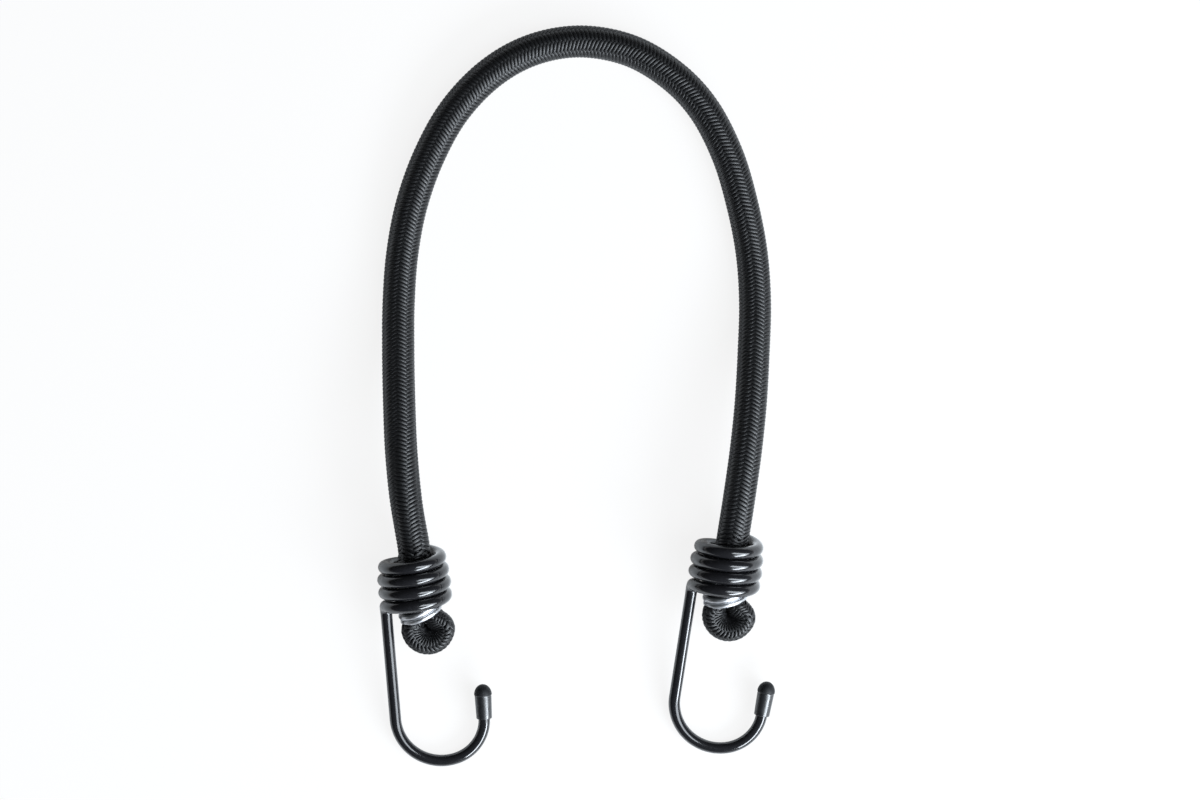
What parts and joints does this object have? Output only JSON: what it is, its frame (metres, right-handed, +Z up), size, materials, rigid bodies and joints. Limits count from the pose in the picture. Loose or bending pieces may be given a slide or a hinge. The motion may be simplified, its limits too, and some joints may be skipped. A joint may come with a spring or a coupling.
{
  "type": "bungee cord",
  "caption": "Elastic tie-down cord with a braided sheath, doubled and clipped ends, and a coiled black wire hook with a capped tip on each end, lying in an arch.",
  "frame": {"origin": "on the surface that the cord lies on, midway between the two hooks", "axes": "+X from the left hook to the right hook, +Y from the hooks to the top of the cord's arch, +Z up"},
  "size_m": [0.1125, 0.2109, 0.0211],
  "materials": {
    "braided_sheath": "black polyester yarn, round braid, slight sheen",
    "rubber_strand": "natural rubber, matte",
    "coated_wire": "gloss black coating on steel wire",
    "vinyl_cap": "satin black soft vinyl",
    "zinc_wire": "bright zinc-plated steel wire"
  },
  "bodies": {
    "cord": {"cord_sheath": "braided_sheath", "cord_strand_1": "rubber_strand", "cord_strand_2": "rubber_strand", "cord_strand_3": "rubber_strand", "cord_strand_4": "rubber_strand", "cord_strand_5": "rubber_strand", "cord_strand_6": "rubber_strand", "cord_strand_7": "rubber_strand"},
    "left_end": {"left_end_sheath": "braided_sheath", "left_end_strand_1": "rubber_strand", "left_end_strand_2": "rubber_strand", "left_end_strand_3": "rubber_strand", "left_end_strand_4": "rubber_strand", "left_end_strand_5": "rubber_strand", "left_end_strand_6": "rubber_strand", "left_end_strand_7": "rubber_strand", "left_clip": "zinc_wire"},
    "left_hook": {"left_hook": "coated_wire", "left_tip_cap": "vinyl_cap"},
    "right_end": {"right_end_sheath": "braided_sheath", "right_end_strand_1": "rubber_strand", "right_end_strand_2": "rubber_strand", "right_end_strand_3": "rubber_strand", "right_end_strand_4": "rubber_strand", "right_end_strand_5": "rubber_strand", "right_end_strand_6": "rubber_strand", "right_end_strand_7": "rubber_strand", "right_clip": "zinc_wire"},
    "right_hook": {"right_hook": "coated_wire", "right_tip_cap": "vinyl_cap"}
  },
  "joints": [
    {"name": "left_stretch", "type": "slide", "parent": "cord", "child": "left_end", "axis": [0.075, -0.9972, 0], "range_m": [0, 0.15], "stiffness_N_per_m": 1100, "deforming": ["cord_sheath", "cord_strand_1", "cord_strand_2", "cord_strand_3", "cord_strand_4", "cord_strand_5", "cord_strand_6", "cord_strand_7"]},
    {"name": "left_hook_swivel", "type": "hinge", "parent": "left_end", "child": "left_hook", "pos_m": [-0.0454, 0.0133, 0.00957], "axis": [-0.0739, 0.9823, 0.1723], "range_deg": [-130, 130]},
    {"name": "right_stretch", "type": "slide", "parent": "cord", "child": "right_end", "axis": [-0.1495, -0.9888, 0], "range_m": [0, 0.15], "stiffness_N_per_m": 1100, "deforming": ["cord_sheath", "cord_strand_1", "cord_strand_2", "cord_strand_3", "cord_strand_4", "cord_strand_5", "cord_strand_6", "cord_strand_7"]},
    {"name": "right_hook_swivel", "type": "hinge", "parent": "right_end", "child": "right_hook", "pos_m": [0.0415, 0.0176, 0.00957], "axis": [0.1473, 0.974, 0.1723], "range_deg": [-130, 130]}
  ]
}
